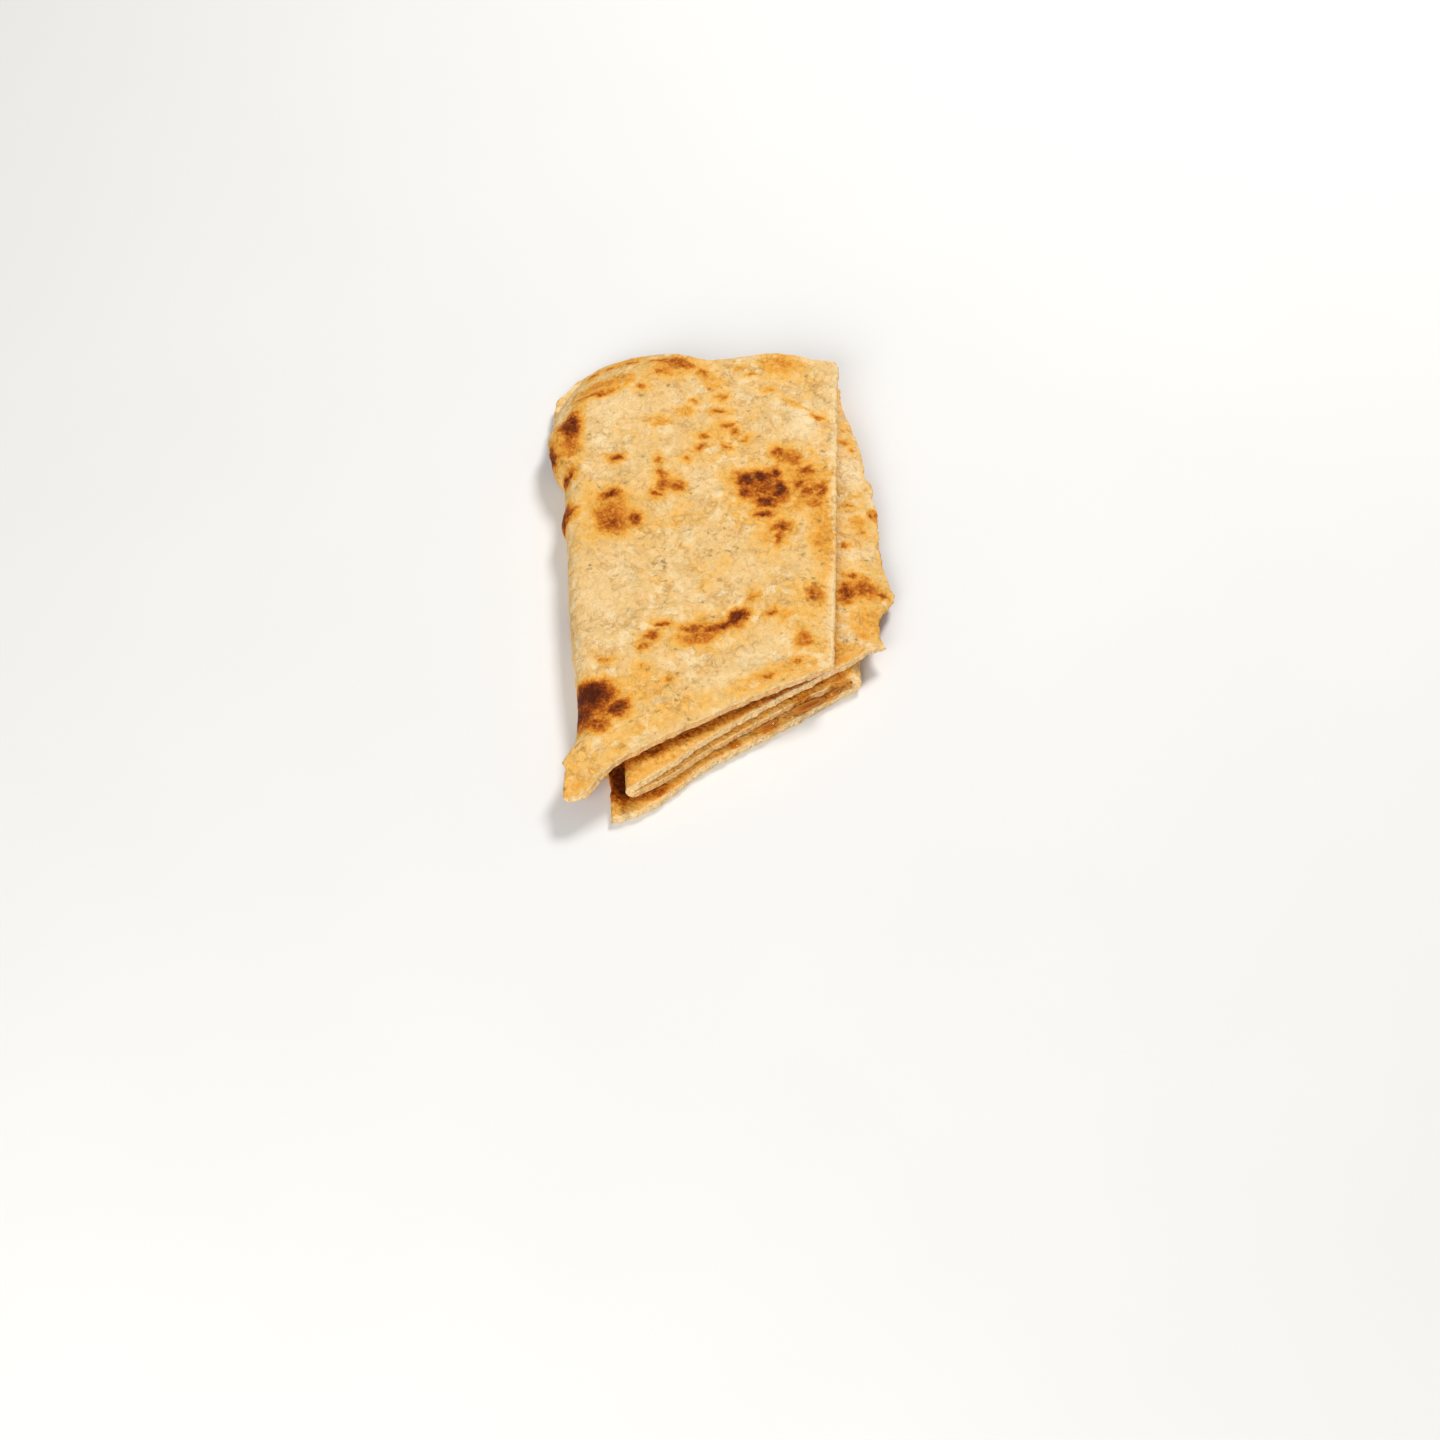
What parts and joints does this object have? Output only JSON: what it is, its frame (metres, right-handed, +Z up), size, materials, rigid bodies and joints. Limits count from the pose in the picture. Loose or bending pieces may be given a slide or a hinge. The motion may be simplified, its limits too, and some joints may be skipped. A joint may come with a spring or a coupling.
{
  "type": "folded flatbread",
  "caption": "Half of a thin griddled flatbread folded into four leaves and cut across at a slant, lying flat with the browned leaf on top and the cut leaves open at the front.",
  "frame": {"origin": "centre of the bread's outline box, on the surface that the bread lies on", "axes": "+Y along the folds from the slanted cut to the far end, +X across the leaves from the rounded left fold to the torn right edge, +Z up out of the browned face"},
  "size_m": [0.0896, 0.1502, 0.0134],
  "materials": {
    "crust": "dry griddled dough, cream to tan with brown char spots"
  },
  "bodies": {
    "root": {"folded_bread": "crust"}
  },
  "joints": []
}
